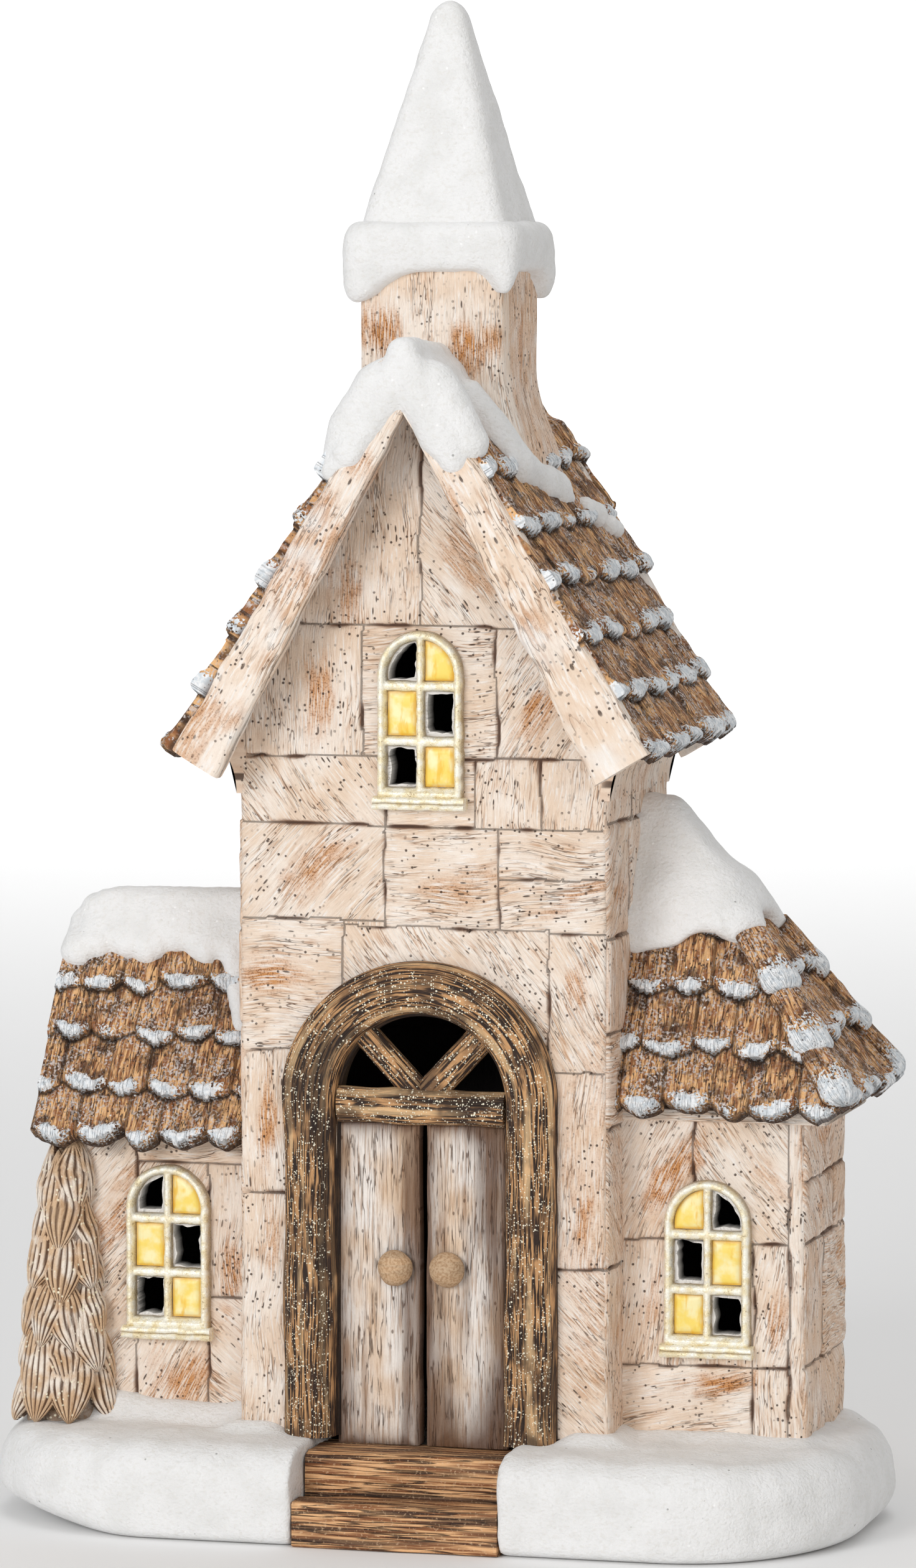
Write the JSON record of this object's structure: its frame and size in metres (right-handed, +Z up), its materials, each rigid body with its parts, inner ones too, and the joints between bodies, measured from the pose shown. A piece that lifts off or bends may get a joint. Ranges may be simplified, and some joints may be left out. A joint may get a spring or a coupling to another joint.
{
  "type": "christmas village house",
  "caption": "Ceramic village house with a steeple, shingled roofs under snow, arched door and windows, on a snow base with a push-in battery lamp.",
  "frame": {"origin": "on the ground under the middle of the base", "axes": "+Z up, -Y out of the front door, +X to the right of someone facing the front"},
  "size_m": [0.188, 0.1, 0.32],
  "materials": {
    "snow": "matt white with fine glitter",
    "plaster": "matt cream with rust brown wash",
    "shingle": "matt brown with white tips",
    "timber": "brown wood grain with gold glitter",
    "door_board": "greyed brown wood grain",
    "step_board": "brown wood grain",
    "gilt": "pale gold, worn",
    "pane": "painted yellow",
    "fir": "cream and brown wash with gold glitter",
    "lamp_plastic": "moulded white",
    "battery_can": "printed metal sleeve, plain",
    "contact_metal": "nickel plated",
    "circuit_board": "green board",
    "led": "warm white light source",
    "lens": "frosted",
    "band": "soft silicone"
  },
  "bodies": {
    "house": {"snow_base": "snow", "ridge_snow_front": "snow", "ridge_snow_rear": "snow", "left_roof_snow": "snow", "right_roof_snow": "snow", "spire_cap": "snow", "spire": "snow", "tower_walls": "plaster", "left_wing_walls": "plaster", "right_wing_walls": "plaster", "steeple_shaft": "plaster", "bargeboard_front_left": "plaster", "bargeboard_front_right": "plaster", "bargeboard_rear_left": "plaster", "bargeboard_rear_right": "plaster", "main_roof_left": "shingle", "main_roof_right": "shingle", "left_roof_front": "shingle", "left_roof_rear": "shingle", "right_roof": "shingle", "door_frame": "timber", "door_transom": "timber", "fanlight_bars": "timber", "door_knob_left": "timber", "door_knob_right": "timber", "door_leaf_left": "door_board", "door_leaf_right": "door_board", "lower_step": "step_board", "upper_step": "step_board", "gable_window_frame": "gilt", "left_window_frame": "gilt", "right_window_frame": "gilt", "gable_window_panes": "pane", "left_window_panes": "pane", "right_window_panes": "pane", "fir_tree": "fir"},
    "lamp": {"lamp_housing": "lamp_plastic", "grip_band": "band", "batteries": "battery_can", "battery_contacts": "contact_metal", "led_board": "circuit_board", "led_chip": "led", "led_lens": "lens"},
    "battery_door": {"battery_door": "lamp_plastic"},
    "switch": {"switch_slider": "lamp_plastic"}
  },
  "joints": [
    {"name": "lamp_pull", "type": "slide", "parent": "house", "child": "lamp", "axis": [0, 0, -1], "range_m": [0, 0.03]},
    {"name": "battery_door_hinge", "type": "hinge", "parent": "lamp", "child": "battery_door", "pos_m": [-0.0293, 0, 0.0017], "axis": [0, 1, 0], "range_deg": [0, 95]},
    {"name": "switch_slide", "type": "slide", "parent": "lamp", "child": "switch", "axis": [0, 1, 0], "range_m": [0, 0.003]}
  ]
}
